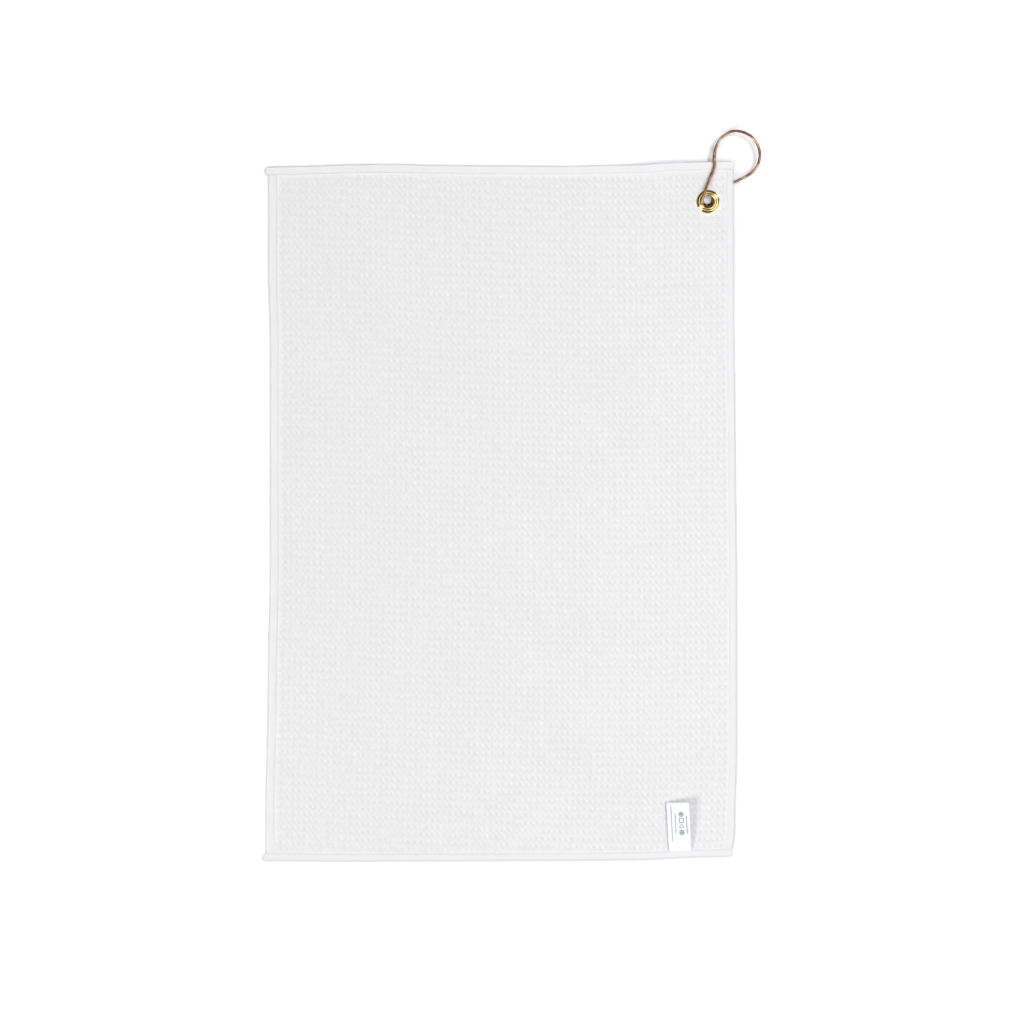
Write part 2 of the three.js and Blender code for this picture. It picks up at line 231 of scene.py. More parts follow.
def bow_at(side, distance):
    """How far an edge bows outward at each distance along it."""
    along, bow = np.array(EDGE_BOW[side]).T * MM
    distance = np.clip(distance, along[0], along[-1])
    after = np.clip(np.searchsorted(along, distance, side="right"), 1, len(along) - 1)
    share = (distance - along[after - 1]) / (along[after] - along[after - 1])
    return bow[after - 1] + (bow[after] - bow[after - 1]) * smooth_step(share)


def plan(s, t):
    """The plan position of the cloth point s from the left edge and t from the bottom one."""
    left = -TOWEL_WIDTH / 2 - bow_at("left", t)
    right = TOWEL_WIDTH / 2 + bow_at("right", t)
    bottom = -TOWEL_LENGTH / 2 - bow_at("bottom", s)
    top = TOWEL_LENGTH / 2 + bow_at("top", s)
    x = left + (right - left) * s / TOWEL_WIDTH
    y = bottom + (top - bottom) * t / TOWEL_LENGTH
    return x + TOWEL_CENTRE[0], y + TOWEL_CENTRE[1]


def ground(x, y):
    """Height of the cloth's underside: the propped corner, and a slight swell elsewhere."""
    fold = np.array([GROMMET_FROM_TOP, GROMMET_FROM_RIGHT])
    fold = fold / np.linalg.norm(fold)
    toward_corner = (x - GROMMET[0]) * fold[0] + (y - GROMMET[1]) * fold[1]
    lifted = smooth_step((toward_corner + LIFT_REACH) / (LIFT_REACH - LIFT_PLATEAU))
    wave = sum(np.sin(along_x * x + along_y * y + phase) for along_x, along_y, phase in SWELL_WAVES)
    from_side = TOWEL_WIDTH / 2 - np.abs(x - TOWEL_CENTRE[0])
    from_end = TOWEL_LENGTH / 2 - np.abs(y - TOWEL_CENTRE[1])
    settled = smooth_step(np.minimum(from_side, from_end) / EDGE_REACH)
    swell = SWELL * (0.5 + wave / (2 * len(SWELL_WAVES))) * (1 - lifted) * settled
    return LIFT * lifted + swell


# ------------------------------------------------------------------ mesh helpers
def make_object(name, vertices, faces, material):
    mesh = bpy.data.meshes.new(name)
    mesh.from_pydata(np.asarray(vertices).tolist(), [], [list(map(int, f)) for f in faces])
    mesh.polygons.foreach_set("use_smooth", np.ones(len(mesh.polygons), bool))
    mesh.materials.append(material)
    mesh.update()
    made = bpy.data.objects.new(name, mesh)
    bpy.context.scene.collection.objects.link(made)
    return made


def add_values(made, name, values):
    attribute = made.data.attributes.new(name, "FLOAT", "POINT")
    attribute.data.foreach_set("value", np.asarray(values, np.float32))


def grid_quads(rows, columns):
    """Quads of a grid of points numbered row by row."""
    first = (np.arange(rows - 1)[:, None] * columns + np.arange(columns - 1)[None]).ravel()
    return np.column_stack([first, first + 1, first + columns + 1, first + columns])


def close_shell(top, bottom, quads):
    """One closed mesh from two layers of the same grid, walled round every open edge."""
    kept, quads = np.unique(quads, return_inverse=True)
    quads = quads.reshape(-1, 4)
    edges = np.concatenate([quads[:, [i, (i + 1) % 4]] for i in range(4)])
    _, first, uses = np.unique(
        np.sort(edges, axis=1), axis=0, return_index=True, return_counts=True
    )
    rim = edges[first[uses == 1]]
    count = len(kept)
    walls = np.column_stack([rim[:, 1], rim[:, 0], rim[:, 0] + count, rim[:, 1] + count])
    faces = np.concatenate([quads, quads[:, ::-1] + count, walls])
    return np.concatenate([top[kept], bottom[kept]]), faces, kept


def loft(rings, closed=False):
    """Vertices and faces of a tube through rings of equal length, with capped ends."""
    count, size = rings.shape[:2]
    index = np.arange(count * size).reshape(count, size)
    following = np.roll(index, -1, axis=0) if closed else index[1:]
    here = index if closed else index[:-1]
    quads = np.stack(
        [here, np.roll(here, -1, axis=1), np.roll(following, -1, axis=1), following], axis=-1
    ).reshape(-1, 4)
    faces = [list(q) for q in quads]
    if not closed:
        faces += [list(index[0][::-1]), list(index[-1])]
    return rings.reshape(-1, 3), faces


def face_outward(made):
    """Turns a closed mesh's faces outward."""
    made.data.calc_loop_triangles()
    points = np.array([v.co for v in made.data.vertices])
    corners = points[np.array([t.vertices for t in made.data.loop_triangles])]
    volume = (corners[:, 0] * np.cross(corners[:, 1], corners[:, 2])).sum()
    if volume < 0:
        made.data.flip_normals()
    return made


def smooth_curve(points, spacing, closed=False):
    """A centripetal Catmull-Rom curve through the points, resampled at an even spacing."""
    points = np.asarray(points, float)
    if closed:
        points = np.concatenate([points[-1:], points, points[:2]])
    else:
        points = np.concatenate([[2 * points[0] - points[1]], points, [2 * points[-1] - points[-2]]])
    fine = []
    for p0, p1, p2, p3 in zip(points, points[1:], points[2:], points[3:]):
        gaps = [max(np.linalg.norm(b - a), 1e-9) ** 0.5 for a, b in ((p0, p1), (p1, p2), (p2, p3))]
        t1 = gaps[0]
        t2 = t1 + gaps[1]
        t3 = t2 + gaps[2]
        t = np.linspace(t1, t2, 24, endpoint=False)[:, None]
        a1 = (t1 - t) / t1 * p0 + t / t1 * p1
        a2 = (t2 - t) / (t2 - t1) * p1 + (t - t1) / (t2 - t1) * p2
        a3 = (t3 - t) / (t3 - t2) * p2 + (t - t2) / (t3 - t2) * p3
        b1 = (t2 - t) / t2 * a1 + t / t2 * a2
        b2 = (t3 - t) / (t3 - t1) * a2 + (t - t1) / (t3 - t1) * a3
        fine.append((t2 - t) / (t2 - t1) * b1 + (t - t1) / (t2 - t1) * b2)
    fine = np.concatenate([*fine, points[-2:-1]])
    lengths = np.concatenate([[0], np.cumsum(np.linalg.norm(np.diff(fine, axis=0), axis=1))])
    count = max(2, int(round(lengths[-1] / spacing)))
    at = np.linspace(0, lengths[-1], count, endpoint=not closed)
    return np.column_stack([np.interp(at, lengths, fine[:, k]) for k in range(fine.shape[1])])


# ------------------------------------------------------------------ materials
class Shader:
    """A node material around one Principled shader, with short calls for common nodes."""

    def __init__(self, name, **inputs):
        self.material = bpy.data.materials.new(name)
        self.material.use_nodes = True
        self.nodes = self.material.node_tree.nodes
        self.links = self.material.node_tree.links
        self.shader = self.nodes["Principled BSDF"]
        for key, value in inputs.items():
            self.shader.inputs[key.replace("_", " ").title()].default_value = value
        self.place = self.nodes.new("ShaderNodeTexCoord").outputs["Object"]

    def link(self, source, target):
        self.links.new(source, target)
        return target.node

    def noise(self, scale, detail=3, stretch=(1, 1, 1), distortion=0.0):
        mapping = self.nodes.new("ShaderNodeMapping")
        mapping.inputs["Scale"].default_value = stretch
        self.link(self.place, mapping.inputs["Vector"])
        node = self.nodes.new("ShaderNodeTexNoise")
        node.inputs["Scale"].default_value = scale
        node.inputs["Detail"].default_value = detail
        node.inputs["Distortion"].default_value = distortion
        self.link(mapping.outputs["Vector"], node.inputs["Vector"])
        return node.outputs["Fac"]

    def wave(self, axis, pitch, distortion=0.0):
        """Bands across one axis, one every pitch metres."""
        node = self.nodes.new("ShaderNodeTexWave")
        node.bands_direction = axis
        node.inputs["Scale"].default_value = math.pi / 10 / pitch
        node.inputs["Distortion"].default_value = distortion
        self.link(self.place, node.inputs["Vector"])
        return node.outputs["Fac"]

    def math(self, operation, a, b, c=0.0):
        node = self.nodes.new("ShaderNodeMath")
        node.operation = operation
        for socket, value in zip(node.inputs, (a, b, c)):
            if isinstance(value, (int, float)):
                socket.default_value = value
            else:
                self.link(value, socket)
        return node.outputs[0]

    def ramp(self, factor, stops):
        node = self.nodes.new("ShaderNodeValToRGB")
        elements = node.color_ramp.elements
        while len(elements) < len(stops):
            elements.new(0.5)
        for element, (position, colour) in zip(elements, stops):
            element.position = position
            element.color = (*colour, 1)
        self.link(factor, node.inputs["Fac"])
        return node.outputs["Color"]

    def attribute(self, name):
        node = self.nodes.new("ShaderNodeAttribute")
        node.attribute_name = name
        return node.outputs["Fac"]

    def multiply(self, a, b):
        node = self.nodes.new("ShaderNodeMix")
        node.data_type = "RGBA"
        node.blend_type = "MULTIPLY"
        node.inputs["Factor"].default_value = 1
        self.link(a, node.inputs[6])
        self.link(b, node.inputs[7])
        return node.outputs[2]

    def bump(self, height, distance, strength=1.0):
        node = self.nodes.new("ShaderNodeBump")
        node.inputs["Distance"].default_value = distance
        node.inputs["Strength"].default_value = strength
        self.link(height, node.inputs["Height"])
        self.link(node.outputs["Normal"], self.shader.inputs["Normal"])

    def set(self, name, source):
        self.link(source, self.shader.inputs[name])


def waffle_cloth():
    """White microfibre: fine crossed yarns and a short pile, with painted shade down in the pits."""
    m = Shader("waffle_cloth", roughness=0.95, sheen_weight=0.2, sheen_roughness=0.6)
    blotches = m.ramp(
        m.noise(14, 2), [(0.3, (0.808, 0.806, 0.804)), (0.7, (0.824, 0.822, 0.82))]
    )
    # Painted shade: the base colour darkens with the stored pit share, down in the pits of the weave.
    pits = m.ramp(m.attribute("pit"), [(0.0, (1, 1, 1)), (1.0, (0.85, 0.85, 0.853))])
    tufts = m.ramp(m.noise(420, 2), [(0.35, (0.955, 0.955, 0.957)), (0.65, (1, 1, 1))])
    m.set("Base Color", m.multiply(m.multiply(blotches, tufts), pits))
    yarns = m.math("MAXIMUM", m.wave("X", 0.42 * MM, 0.6), m.wave("Y", 0.47 * MM, 0.6))
    pile = m.noise(2600, 2)
    m.bump(m.math("ADD", yarns, pile), 0.06 * MM, 0.6)
    return m.material


def overlock_thread():
    """Bulky polyester thread: twisted plies and a slight lustre, with painted shade between the ribs."""
    m = Shader("overlock_thread", roughness=0.75, sheen_weight=0.3, sheen_roughness=0.4)
    tone = m.ramp(m.noise(60, 2), [(0.3, (0.847, 0.846, 0.847)), (0.7, (0.863, 0.862, 0.864))])
    # Painted shade: the stored tone darkens the thread in the valleys between ribs and knots, and on the
    # outer row of loops by side.
    ribs = m.ramp(
        m.math("MULTIPLY", m.attribute("rib"), 0.7),
        [(0.0, (0.5, 0.5, 0.51)), (0.28, (0.826, 0.826, 0.83)), (0.63, (0.917,) * 3), (1.0, (1, 1, 1))],
    )
    m.set("Base Color", m.multiply(tone, ribs))
    m.bump(m.noise(3200, 3, (1, 1, 1), 0.5), 0.05 * MM, 0.6)
    return m.material


def brass():
    """Lacquered yellow brass with faint turning marks and handling scuffs."""
    m = Shader("grommet_brass", metallic=1.0, coat_weight=0.3, coat_roughness=0.1)
    colour = m.ramp(
        m.noise(260, 4), [(0.3, (0.52, 0.39, 0.14)), (0.55, (0.68, 0.54, 0.24)), (0.8, (0.82, 0.7, 0.4))]
    )
    m.set("Base Color", colour)
    m.set("Roughness", m.math("MULTIPLY_ADD", m.noise(900, 4), 0.16, 0.05))
    m.bump(m.noise(1400, 3), 0.01 * MM, 0.25)
    return m.material


def copper_wire():
    """Drawn copper-brown wire: fine lengthwise streaks, tarnish and small nicks."""
    m = Shader("hook_wire", metallic=1.0)
    tarnish = m.noise(190, 5, (1, 1, 1), 1.0)
    colour = m.ramp(
        tarnish, [(0.3, (0.15, 0.07, 0.035)), (0.5, (0.32, 0.18, 0.105)), (0.72, (0.66, 0.47, 0.33))]
    )
    m.set("Base Color", colour)
    m.set("Roughness", m.math("MULTIPLY_ADD", m.noise(700, 4), 0.2, 0.05))
    m.bump(m.noise(2200, 3), 0.012 * MM, 0.3)
    return m.material


def label_satin():
    """White satin ribbon: long floats that give a soft sheen, with a fine cross grain."""
    m = Shader("label_satin", roughness=0.42, sheen_weight=0.2, sheen_roughness=0.3)
    tone = m.ramp(m.noise(180, 2), [(0.3, (0.815, 0.823, 0.86)), (0.7, (0.84, 0.848, 0.88))])
    m.set("Base Color", tone)
    floats = m.math("ADD", m.wave("X", 0.16 * MM, 0.3), m.wave("Y", 0.24 * MM, 0.5))
    m.bump(floats, 0.012 * MM, 0.4)
    return m.material


def label_ink():
    """Printed ribbon ink, a little uneven where it sits on the weave."""
    m = Shader("label_ink", roughness=0.6)
    tone = m.ramp(m.noise(2400, 2), [(0.35, (0.05, 0.05, 0.055)), (0.65, (0.11, 0.11, 0.115))])
    m.set("Base Color", tone)
    m.bump(m.wave("X", 0.16 * MM, 0.3), 0.008 * MM, 0.3)
    return m.material


def studio_white():
    m = Shader("studio_white", roughness=0.9)
    m.set("Base Color", m.ramp(m.noise(3, 1), [(0.0, (0.96, 0.96, 0.96)), (1.0, (0.97, 0.97, 0.97))]))
    return m.material


# ------------------------------------------------------------------ cloth
def pit_share(s, t):
    """0 on the highest tufts of the weave, about 1 in the pits between; no two are quite alike."""
    column = s / WEAVE_WIDTH
    row = (t + WEAVE_FALL * s * (1 - WEAVE_FALL_EASING * s / TOWEL_WIDTH)) / WEAVE_HEIGHT
    relief = sum(
        weight * np.cos(2 * np.pi * (columns * column + rows * row) + math.radians(phase))
        for columns, rows, weight, phase in WEAVE_RIBS
    )
    cells = 128
    uneven = rng.uniform(1 - PIT_UNEVENNESS, 1 + PIT_UNEVENNESS, (cells, cells))
    here = [np.floor(g + 0.5).astype(int) % cells for g in (row, column)]
    steep = [(1 - np.cos(2 * np.pi * g)) / 2 for g in (row, column)]
    flat_share = (1 - steep[0]) * (1 - steep[1])
    relief = relief * (1 + (uneven[here[0], here[1]] - 1) * flat_share)
    relief = relief * (WEAVE_FLATTEST + WEAVE_GAIN * s / TOWEL_WIDTH)
    return np.clip(0.5 - relief / (2 * WEAVE_PEAK), 0, 1.1)


def towel_cloth(material):
    """The waffle cloth, thin under the seams, clamped and puckered round the grommet."""
    hem = BAND_BACK + HEM_CLEARANCE
    across = np.linspace(
        hem, TOWEL_WIDTH - hem, int(TOWEL_WIDTH / WEAVE_WIDTH * STEPS_ACROSS_PIT)
    )
    up = np.linspace(hem, TOWEL_LENGTH - hem, int(TOWEL_LENGTH / WEAVE_HEIGHT * STEPS_UP_PIT))
    s, t = (g.ravel() for g in np.meshgrid(across, up))
    x, y = plan(s, t)
    inset = np.minimum.reduce([s, t, TOWEL_WIDTH - s, TOWEL_LENGTH - t])
    from_grommet = np.hypot(x - GROMMET[0], y - GROMMET[1])
    open_cloth = smooth_step((inset - BAND_WIDTH - WEAVE_START) / WEAVE_FADE)
    open_cloth = open_cloth * smooth_step((from_grommet - FLAT_RADIUS) / FLAT_FADE)
    clamp = 1 - smooth_step((from_grommet - CLAMP_RADIUS) / CLAMP_FADE)
    from_seam = inset - BAND_WIDTH
    under_band = 1 - smooth_step((from_seam + SQUEEZE_OVERLAP) / SQUEEZE_FADE)
    seam_dip = np.exp(-(((from_seam - DIP_FROM_SEAM) / DIP_SPREAD) ** 2))
    from_right_seam = TOWEL_WIDTH - s - BAND_WIDTH
    seam_dip = seam_dip * smooth_step((from_right_seam - NO_DIP_AT_RIGHT) / DIP_FADE)
    angle = np.arctan2(y - GROMMET[1], x - GROMMET[0])
    pucker = np.exp(-((from_grommet - PUCKER_RADIUS) / PUCKER_SPREAD) ** 2)
    pucker = pucker * np.cos(PUCKERS * angle)
    face_pit = pit_share(s, t) * open_cloth
    back_pit = pit_share(s + WEAVE_WIDTH / 2, t + WEAVE_HEIGHT / 2) * open_cloth
    low = ground(x, y)
    top = low + CLOTH_THICKNESS - PIT_DEPTH * face_pit
    top += PUCKER_HEIGHT * pucker + CLAMP_SQUEEZE_TOP * clamp
    top -= SEAM_SQUEEZE_TOP * under_band + SEAM_DIP * seam_dip
    bottom = low + PIT_DEPTH * back_pit
    bottom += CLAMP_SQUEEZE_BACK * clamp + SEAM_SQUEEZE_BACK * under_band
    quads = grid_quads(len(up), len(across))
    quads = quads[from_grommet[quads].min(axis=1) > CLOTH_HOLE_RADIUS]
    shell, faces, kept = close_shell(
        np.column_stack([x, y, top]), np.column_stack([x, y, bottom]), quads
    )
    made = make_object("waffle_cloth_sheet", shell, faces, material)
    # The pit share, which the cloth's material turns into painted shade down in the pits.
    add_values(made, "pit", np.concatenate([face_pit[kept], back_pit[kept]]))
    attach(made, "towel")
    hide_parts("towel_panel")
    return made


# ------------------------------------------------------------------ overlocked edges
def band_section():
    """The seam's outline as [inset, height, normal inset, normal height, on the outside]."""
    middle = BAND_THICKNESS / 2
    insets = np.linspace(BAND_WIDTH, middle, 7)
    inner_share = np.clip((insets - THINNING_START) / (BAND_WIDTH - THINNING_START), 0, 1)
    crown = SEAM_THINNING * inner_share**2
    rows = [(i, c / 2, 0, -1, 1) for i, c in zip(insets, crown)]
    for a in np.radians(np.linspace(-90, 90, 9)[1:-1]):
        out = math.cos(a)
        up = math.sin(a)
        rows.append((middle - middle * out, middle + middle * up, -out, up, 1))
    rows += [(i, BAND_THICKNESS - c, 0, 1, 1) for i, c in zip(insets[::-1], crown[::-1])]
    slot_top = BAND_THICKNESS - BAND_WALL
    mouth = BAND_WIDTH - SLOT_SETBACK
    rows += [(mouth, slot_top, 0, 0, 0), (BAND_BACK, slot_top, 0, 0, 0)]
    rows += [(BAND_BACK, BAND_WALL, 0, 0, 0), (mouth, BAND_WALL, 0, 0, 0)]
    return np.array(rows)


def thread_band(name, node, start, end, place, material, round_start, round_end, painted_side_shade):
    """A seam of dense slanted thread from start to end along one edge.

    The last argument paints shade on the outermost row of loops when positive, and paints light on it
    when negative, for how the light falls on that side of the towel.
    """
    section = band_section()
    inset, height, out_inset, out_height, outside = section.T
    count = int((end - start) / STITCH_PITCH * STEPS_PER_STITCH)
    along = np.linspace(start, end, count)
    share = np.ones(count)
    for reach, distance in ((round_start, along - start), (round_end, end - along)):
        if reach:
            inside = np.clip(1 - distance / reach, 0, 1)
            share = np.minimum(share, np.sqrt(1 - END_PINCH * inside**2))
    stitch = along[:, None] / STITCH_PITCH
    slant = np.where(out_height > 0.3, 1, -1) * inset / BAND_WIDTH
    rib = np.sin(np.pi * (2 * stitch + RIB_SLANT * slant[None])) ** 2
    edge = np.clip(-out_inset, 0, 1)[None]
    knot = np.exp(-(((stitch % 1 - 0.5) / KNOT_SPREAD) ** 2)) * edge**3
    lip = (np.abs(inset - BAND_WIDTH) < 0.1 * MM)[None] * outside[None]
    push = (RIB_DEPTH * (rib - 1) + KNOT_DEPTH * knot) * outside[None]
    in_from_edge = inset[None] + out_inset[None] * push
    in_from_edge = in_from_edge - LIP_REACH * lip * (1 - np.abs(2 * (stitch % 1) - 1))
    pinched = BAND_WIDTH / 2 + (in_from_edge - BAND_WIDTH / 2) * share[:, None]
    s, t = place(np.broadcast_to(along[:, None], pinched.shape), pinched)
    x, y = plan(s, t)
    middle = BAND_THICKNESS / 2
    thinned = END_THINNESS + (1 - END_THINNESS) * share[:, None]
    thick = middle + (height[None] + out_height[None] * push - middle) * thinned
    z = ground(x, y) + thick
    vertices, faces = loft(np.stack([x, y, z], axis=-1))
    made = face_outward(make_object(name, vertices, faces, material))
    # Painted shade along the outer row of loops, dotted with the stitches; each side's strength makes it
    # darker or lighter for how the light falls there.
    near_edge = np.exp(-(((inset - LOOP_ROW_INSET) / LOOP_ROW_SPREAD) ** 2)) * (out_height > 0.1)
    dotted = 0.55 + 0.45 * np.exp(-((((stitch + 0.5) % 1 - 0.5) / LOOP_SPREAD) ** 2))
    painted_loop_shade = dotted * near_edge[None]
    # Painted shade: the colour is darker in the valleys between the ribs and knots; the hidden slot
    # inside gets a flat darker tone.
    painted_valley_shade = PAINTED_VALLEY_TONE + (1 - PAINTED_VALLEY_TONE) * np.maximum(rib, knot)
    tone = np.where(outside[None] > 0, painted_valley_shade, 0.6)
    add_values(made, "rib", (tone - LOOP_ROW_STRENGTH * painted_loop_shade * painted_side_shade).ravel())
    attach(made, "towel")
    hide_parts(node)
    return made


def needle_stitches(name, start, end, place, material):
    """The row of short straight stitches just outside the seam's inner edge."""
    inset = BAND_WIDTH - NEEDLE_INSET
    starts = np.arange(start, end - NEEDLE_LENGTH, STITCH_PITCH)
    shares = np.linspace(0, 1, 6)
    angles = np.linspace(0, 2 * np.pi, 8, endpoint=False)
    vertices = []
    faces = []
    for first in starts:
        along = first + NEEDLE_LENGTH * shares[:, None]
        width = NEEDLE_RADIUS * np.sqrt(1 - (0.9 * (2 * shares[:, None] - 1)) ** 2)
        side = inset + width * np.cos(angles)[None]
        s, t = place(np.broadcast_to(along, side.shape), side)
        x, y = plan(s, t)
        arch = NEEDLE_ARCH * (1 - (2 * shares[:, None] - 1) ** 2)
        z = ground(x, y) + BAND_THICKNESS - NEEDLE_SINK + arch + width * np.sin(angles)[None]
        points, own_faces = loft(np.stack([x, y, z], axis=-1))
        faces += [[k + len(vertices) * len(points) for k in f] for f in own_faces]
        vertices.append(points)
    made = face_outward(make_object(name, np.concatenate(vertices), faces, material))
    add_values(made, "rib", np.ones(len(made.data.vertices)))
    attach(made, "towel")
    return made


def overlocked_edges(material):
    """The four seams, each with its row of stitches: the side ones start inside the other two."""
    cross = (-TAB_LENGTH, TOWEL_WIDTH)
    upright = (SIDE_SEAM_START, TOWEL_LENGTH - SIDE_SEAM_START)
    # start, end, place on the cloth, rounding at the start and at the end, and the strength of the
    # painted shade on the outer row of loops: positive on the right and bottom, negative for painted
    # light on the top and left
    runs = {
        "top": (*cross, lambda a, i: (a, TOWEL_LENGTH - i), 3 * MM, 2.5 * MM, -0.5),
        "bottom": (*cross, lambda a, i: (a, i), 3 * MM, 3.5 * MM, 0.95),
        "left": (*upright, lambda a, i: (i, a), 0, 0, -0.4),
        "right": (*upright, lambda a, i: (TOWEL_WIDTH - i, a), 0, 0, 1.1),
    }
    pieces = []
    for side, (start, end, place, first, last, strength) in runs.items():
        names = (f"overlock_seam_{side}", f"overlock_{side}")
        pieces.append(thread_band(*names, start, end, place, material, first, last, strength))
        first_stitch = start + NEEDLE_END_REACH
        last_stitch = end - NEEDLE_END_REACH
        pieces.append(
            needle_stitches(f"needle_stitches_{side}", first_stitch, last_stitch, place, material)
        )
    return pieces


# ------------------------------------------------------------------ grommet
def turned_ring(name, node, outline, material):
    """A ring turned about the grommet's axis from a closed outline of (radius, height), in mm."""
    profile = smooth_curve(np.array(outline) * MM, RING_SPACING, closed=True)
    angles = np.linspace(0, 2 * np.pi, RING_STEPS, endpoint=False)
    rings = np.stack(
        [
            GROMMET[0] + profile[None, :, 0] * np.cos(angles)[:, None],
            GROMMET[1] + profile[None, :, 0] * np.sin(angles)[:, None],
            np.broadcast_to(profile[None, :, 1], (len(angles), len(profile))),
        ],
        axis=-1,
    )
    vertices, faces = loft(rings, closed=True)
    made = face_outward(make_object(name, vertices, faces, material))
    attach(made, "towel")
    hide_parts(node)
    return made


def grommet(material):
    """The eyelet, its barrel rolled over on top, and the domed washer under the roll."""
    eyelet = [
        (5.2, 3.5), (5.35, 3.05), (5.8, 2.82), (7.0, 2.8), (8.6, 2.8), (10.0, 2.82), (10.38, 3.05),
        (10.3, 3.4), (9.8, 3.58), (8.0, 3.6), (6.3, 3.6), (5.9, 3.7), (5.8, 4.2), (5.8, 5.2),
        (5.84, 5.75), (6.15, 5.94), (6.6, 5.98), (6.95, 6.15), (7.02, 6.4), (6.85, 6.68),
        (6.5, 6.85), (6.15, 6.9), (5.75, 6.8), (5.42, 6.5), (5.24, 5.95), (5.2, 5.0), (5.2, 4.2),
    ]
    washer = [
        (6.05, 5.1), (7.5, 5.08), (9.0, 5.08), (10.1, 5.08), (10.38, 5.18), (10.38, 5.36),
        (10.12, 5.46), (9.75, 5.5), (9.2, 5.8), (8.7, 6.1), (8.25, 6.26), (7.8, 6.3), (7.4, 6.2),
        (7.1, 5.98), (6.6, 5.82), (6.1, 5.74), (5.98, 5.4),
    ]
    return [
        turned_ring("rolled_eyelet", "grommet_eyelet", eyelet, material),
        turned_ring("domed_washer", "grommet_washer", washer, material),
    ]


# ------------------------------------------------------------------ hook
def hook_path():
    """The wire's centre line from the grommet's middle, in mm: the CAD model's own points."""
    level, high, low = 6.8, 8.4, 1.3
    turn = np.radians(np.linspace(-66, 100, 9))
    x, y = LOOP_MIDDLE
    loop = [(x + LOOP_RADIUS * math.cos(a), y + LOOP_RADIUS * math.sin(a), level) for a in turn]
    return [
        (22.4, 16.8, level), (27.6, 19.3, level), *loop, (15.8, 59.0, level), (11.2, 55.2, level),
        (7.6, 49.5, level), (5.8, 43.9, level), (5.3, 37.5, level), (5.5, 31.5, level),
        (4.1, 26.6, level), (1.6, 20.5, level), (-1.2, 13.4, level + 0.8), (-3.3, 7.7, high),
        (-4.7, 3.4, high), (-5.1, 0.4, high), (-4.4, -1.6, high - 0.6), (-2.7, -2.8, high - 1.9),
        (-0.6, -3.1, 4.6), (1.5, -2.8, 2.9), (3.1, -1.6, 1.6), (4.0, 1.0, low), (4.4, 6.0, low),
        (4.8, 18.0, low), (5.4, 32.0, low), (5.9, 41.0, low), (6.2, 44.6, low + 0.5),
        (6.6, 47.2, 4.1),
    ]


def wire_tube(path, radius, sides):
    """A round tube along a path, turned as little as possible, with eased ends."""
    tangents = np.gradient(path, axis=0)
    tangents /= np.linalg.norm(tangents, axis=1)[:, None]
    across = np.cross(tangents[0], (0, 0, 1.0))
    rings = []
    angles = np.linspace(0, 2 * np.pi, sides, endpoint=False)
    for centre, tangent, thick in zip(path, tangents, radius):
        across = across - tangent * across.dot(tangent)
        across /= np.linalg.norm(across)
        upward = np.cross(across, tangent)
        circle = np.outer(np.cos(angles), across) + np.outer(np.sin(angles), upward)
        rings.append(centre + thick * circle)
    return loft(np.array(rings))


def wire_hook(material):
    """The bent wire, with its two cut ends slightly rounded."""
    path = smooth_curve(np.array(hook_path()) * MM, WIRE_SPACING)
    path[:, :2] += GROMMET
    reach = np.minimum(np.arange(len(path)), np.arange(len(path))[::-1]) * WIRE_SPACING
    eased = np.sqrt(1 - (1 - np.clip(reach / WIRE_END_REACH, 0, 1)) ** 2 * WIRE_END_EASING)
    vertices, faces = wire_tube(path, WIRE_RADIUS * eased, WIRE_SIDES)
    made = face_outward(make_object("wire_hook", vertices, faces, material))
    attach(made, "hook")
    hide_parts("hook")
    return made


# ------------------------------------------------------------------ care label
def label_point(u, v, above=0.0):
    """A point on the label: u from its middle line, v from its sewn end, in metres."""
    u, v = np.broadcast_arrays(np.asarray(u, float), np.asarray(v, float))
    share = np.clip(v / LABEL_LENGTH, 0, 1)
    rise = LABEL_RISE * share * (2 - share)
    step = LABEL_STEP * smooth_step((v - LABEL_STEP_START) / LABEL_STEP_REACH)
    across = 0.5 + u / LABEL_WIDTH
    curled = across * (1 + LABEL_CURL - LABEL_CURL * across)
    lean = LABEL_LOW_SIDE + (1 - LABEL_LOW_SIDE) * curled
    x = LABEL_ROOT.x - LABEL_SHIFT + u - v * math.sin(LABEL_LEAN)
    y = LABEL_ROOT.y + v * math.cos(LABEL_LEAN)
    z = ground(x, y) + LABEL_ROOT_RISE + step + rise * lean
    return np.stack([x, y, z + above], axis=-1)


def ribbon_label(material):
    """The ribbon itself, from its end tucked under the seam up to its raised free end."""
    us = np.linspace(-LABEL_WIDTH / 2, LABEL_WIDTH / 2, 21)
    vs = np.linspace(-LABEL_TUCK, LABEL_LENGTH, 52)
    u, v = (g.ravel() for g in np.meshgrid(us, vs))
    shell, faces, _ = close_shell(
        label_point(u, v, LABEL_THICKNESS / 2),
        label_point(u, v, -LABEL_THICKNESS / 2),
        grid_quads(len(vs), len(us)),
    )
    made = make_object("satin_label", shell, faces, material)
    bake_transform(made)
    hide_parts("care_label")
    return made


def print_outline(outline):
    """A flat printed patch from an outline of (u, v): the bottom and top outlines of its thin slab."""
    u, v = np.array(outline).T
    low = label_point(u, v, LABEL_THICKNESS / 2 - INK_SINK)
    high = label_point(u, v, LABEL_THICKNESS / 2 + INK_THICKNESS)
    return low, high


